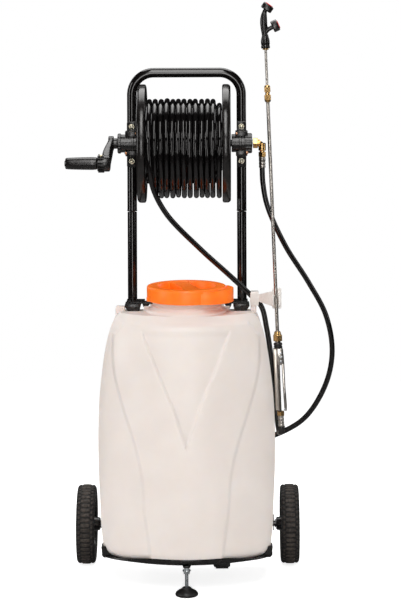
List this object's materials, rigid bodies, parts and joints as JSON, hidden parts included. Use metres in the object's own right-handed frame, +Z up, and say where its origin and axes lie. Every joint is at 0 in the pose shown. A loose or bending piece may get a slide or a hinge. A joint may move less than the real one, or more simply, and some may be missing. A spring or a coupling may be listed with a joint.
{
  "type": "wheeled sprayer cart",
  "caption": "Wheeled sprayer cart: plastic liquid tank on a tubular trolley with a crank hose reel, a battery pump behind the tank and a spray lance clipped to its side.",
  "frame": {"origin": "middle of the levelling foot's sole, on the ground", "axes": "+Z up, -Y towards the front of the tank, +X towards the lance side"},
  "size_m": [0.6114, 0.393, 1.2927],
  "materials": {
    "frame_paint": "glossy black powder coat",
    "bare_steel": "drawn stainless steel",
    "zinc_plate": "yellow zinc plate",
    "brass": "machined brass",
    "copper": "copper-coloured plate",
    "tank_plastic": "milky translucent polyethylene",
    "holder_plastic": "translucent white plastic",
    "black_plastic": "moulded black plastic",
    "grey_plastic": "moulded dark grey plastic",
    "orange_plastic": "satin orange plastic",
    "tyre_rubber": "dull black rubber",
    "soft_rubber": "black rubber",
    "hose_rubber": "glossy black hose",
    "red_plastic": "red plastic"
  },
  "bodies": {
    "cart": {"handle_frame": "frame_paint", "lower_frame": "frame_paint", "foot_bracket": "frame_paint", "axle": "bare_steel", "trigger_body": "bare_steel", "hose_ferrule": "bare_steel", "supply_ferrule": "bare_steel", "lance_outer_tube": "bare_steel", "pump_motor": "bare_steel", "frame_screw_left": "zinc_plate", "frame_screw_right": "zinc_plate", "cotter_pin_left": "zinc_plate", "cotter_pin_right": "zinc_plate", "foot_nut": "zinc_plate", "bearing_bolt_left_lower": "zinc_plate", "bearing_bolt_left_upper": "zinc_plate", "bearing_bolt_right_lower": "zinc_plate", "bearing_bolt_right_upper": "zinc_plate", "inlet_elbow": "brass", "lance_nut": "brass", "lance_coupling": "brass", "pump_outlet": "brass", "tank": "tank_plastic", "lance_holder": "holder_plastic", "tank_yoke": "black_plastic", "base_tray": "black_plastic", "rear_cover": "black_plastic", "pump_head": "black_plastic", "bearing_left": "black_plastic", "bearing_right": "black_plastic", "neck_strainer": "grey_plastic", "battery": "grey_plastic", "charge_socket": "grey_plastic", "lance_collar": "soft_rubber", "supply_hose": "hose_rubber", "spray_hose": "hose_rubber", "suction_hose": "hose_rubber"},
    "wheel_left": {"tyre_left": "tyre_rubber", "wheel_rim_left": "black_plastic"},
    "wheel_right": {"tyre_right": "tyre_rubber", "wheel_rim_right": "black_plastic"},
    "reel": {"reel_drum": "black_plastic", "reel_flange_left": "grey_plastic", "reel_flange_right": "grey_plastic", "hose_coil": "hose_rubber", "crank_arm": "black_plastic", "crank_pin": "copper"},
    "crank_grip": {"crank_grip": "black_plastic"},
    "lid_gasket": {"lid_gasket": "soft_rubber"},
    "lid": {"lid": "orange_plastic"},
    "trigger_lever": {"trigger_lever": "bare_steel"},
    "lance_inner": {"lance_inner_tube": "bare_steel", "nozzle_body": "black_plastic"},
    "nozzle_cap_top": {"nozzle_cap_top": "black_plastic"},
    "nozzle_cap_side": {"nozzle_cap_side": "black_plastic"},
    "levelling_foot": {"foot_rod": "zinc_plate", "foot_pad": "soft_rubber"},
    "power_switch": {"power_switch": "red_plastic"},
    "flow_knob": {"flow_knob": "black_plastic"},
    "drain_plug": {"drain_plug": "black_plastic"}
  },
  "joints": [
    {"name": "wheel_left_spin", "type": "hinge", "parent": "cart", "child": "wheel_left", "pos_m": [-0.233, 0.266, 0.089], "axis": [1, 0, 0], "continuous": true},
    {"name": "wheel_right_spin", "type": "hinge", "parent": "cart", "child": "wheel_right", "pos_m": [0.233, 0.266, 0.089], "axis": [1, 0, 0], "continuous": true},
    {"name": "reel_spin", "type": "hinge", "parent": "cart", "child": "reel", "pos_m": [-0.005, 0.233, 0.967], "axis": [1, 0, 0], "continuous": true},
    {"name": "crank_grip_spin", "type": "hinge", "parent": "reel", "child": "crank_grip", "pos_m": [-0.237, 0.14974, 0.92906], "axis": [1, 0, 0], "continuous": true},
    {"name": "lid_lift", "type": "slide", "parent": "cart", "child": "lid_gasket", "axis": [0, 0, 1], "range_m": [0, 0.025]},
    {"name": "lid_turn", "type": "hinge", "parent": "lid_gasket", "child": "lid", "pos_m": [0, 0.136, 0.64], "axis": [0, 0, 1], "range_deg": [0, 360]},
    {"name": "trigger_squeeze", "type": "hinge", "parent": "cart", "child": "trigger_lever", "pos_m": [0.21197, 0.146, 0.49512], "axis": [0, 1, 0], "range_deg": [0, 4]},
    {"name": "lance_telescope", "type": "slide", "parent": "cart", "child": "lance_inner", "axis": [-0.0375, 0, 0.9993], "range_m": [-0.07, 0.25]},
    {"name": "nozzle_cap_top_turn", "type": "hinge", "parent": "lance_inner", "child": "nozzle_cap_top", "pos_m": [0.18454, 0.146, 1.27914], "axis": [0.5857, 0, 0.8106], "range_deg": [0, 360]},
    {"name": "nozzle_cap_side_turn", "type": "hinge", "parent": "lance_inner", "child": "nozzle_cap_side", "pos_m": [0.2026, 0.146, 1.23779], "axis": [0.9125, 0, 0.4091], "range_deg": [0, 360]},
    {"name": "foot_level", "type": "slide", "parent": "cart", "child": "levelling_foot", "axis": [0, 0, 1], "range_m": [-0.012, 0]},
    {"name": "power_switch_rock", "type": "hinge", "parent": "cart", "child": "power_switch", "pos_m": [-0.06, 0.27, 0.262], "axis": [1, 0, 0], "range_deg": [0, 18]},
    {"name": "flow_knob_turn", "type": "hinge", "parent": "cart", "child": "flow_knob", "pos_m": [0, 0.278, 0.262], "axis": [0, -1, 0], "range_deg": [0, 270]},
    {"name": "drain_plug_turn", "type": "hinge", "parent": "cart", "child": "drain_plug", "pos_m": [0.077, 0.061, 0.055], "axis": [0, 0, 1], "range_deg": [0, 360]}
  ],
  "couplings": [
    {"joint": "lid_lift", "follows": "lid_turn", "m_per_rad": 0.0039788}
  ]
}
